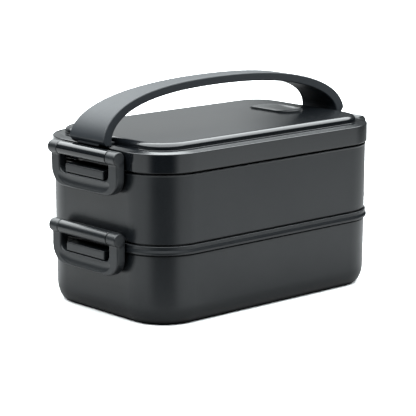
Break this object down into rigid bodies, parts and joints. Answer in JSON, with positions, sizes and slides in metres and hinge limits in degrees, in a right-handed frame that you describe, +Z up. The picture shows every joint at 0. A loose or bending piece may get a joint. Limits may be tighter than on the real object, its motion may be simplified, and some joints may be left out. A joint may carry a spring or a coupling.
{
  "type": "bento lunch box",
  "caption": "Two stacked rounded food tiers under a raised lid with a steam vent, held by U-shaped side latches and carried by an arched strap.",
  "frame": {"origin": "centre of the base, on the surface the box stands on", "axes": "+Z up, +X along the long side towards the right latches, -Y towards the front long side, away from the vent's fold"},
  "size_m": [0.2116, 0.1196, 0.137],
  "materials": {
    "tier_plastic": "satin charcoal polypropylene",
    "lid_plastic": "satin charcoal polypropylene, slightly glossier than the tiers",
    "latch_plastic": "satin charcoal polypropylene",
    "strap_plastic": "satin charcoal polypropylene",
    "vent_silicone": "soft matt grey silicone",
    "seal_silicone": "translucent pale grey silicone",
    "pin_steel": "drawn stainless steel"
  },
  "bodies": {
    "lower_tier": {"lower_container": "tier_plastic"},
    "upper_tier": {"upper_container": "tier_plastic", "tier_seal": "seal_silicone", "lower_hinge_pin_left": "pin_steel", "lower_hinge_pin_right": "pin_steel"},
    "lid": {"lid": "lid_plastic", "lid_seal": "seal_silicone", "vent_anchor": "vent_silicone", "upper_hinge_pin_left": "pin_steel", "upper_hinge_pin_right": "pin_steel"},
    "carrying_strap": {"carrying_strap": "strap_plastic"},
    "vent_flap": {"vent_flap": "vent_silicone"},
    "upper_latch_left": {"upper_latch_left": "latch_plastic"},
    "upper_latch_right": {"upper_latch_right": "latch_plastic"},
    "lower_latch_left": {"lower_latch_left": "latch_plastic"},
    "lower_latch_right": {"lower_latch_right": "latch_plastic"}
  },
  "joints": [
    {"name": "upper_tier_lift", "type": "slide", "parent": "lower_tier", "child": "upper_tier", "axis": [0, 0, 1], "range_m": [0, 0.09]},
    {"name": "lid_lift", "type": "slide", "parent": "upper_tier", "child": "lid", "axis": [0, 0, 1], "range_m": [0, 0.09]},
    {"name": "carrying_strap_lift", "type": "slide", "parent": "lid", "child": "carrying_strap", "axis": [0, 0, 1], "range_m": [0, 0.06]},
    {"name": "vent_flap_lift", "type": "hinge", "parent": "lid", "child": "vent_flap", "pos_m": [0.059, 0.0124, 0.1098], "axis": [-1, 0, 0], "range_deg": [0, 28]},
    {"name": "upper_latch_left_swing", "type": "hinge", "parent": "lid", "child": "upper_latch_left", "pos_m": [-0.1016, 0, 0.0999], "axis": [0, 1, 0], "range_deg": [0, 135]},
    {"name": "upper_latch_right_swing", "type": "hinge", "parent": "lid", "child": "upper_latch_right", "pos_m": [0.1016, 0, 0.0999], "axis": [0, -1, 0], "range_deg": [0, 135]},
    {"name": "lower_latch_left_swing", "type": "hinge", "parent": "upper_tier", "child": "lower_latch_left", "pos_m": [-0.1016, 0, 0.0516], "axis": [0, 1, 0], "range_deg": [0, 135]},
    {"name": "lower_latch_right_swing", "type": "hinge", "parent": "upper_tier", "child": "lower_latch_right", "pos_m": [0.1016, 0, 0.0516], "axis": [0, -1, 0], "range_deg": [0, 135]}
  ]
}
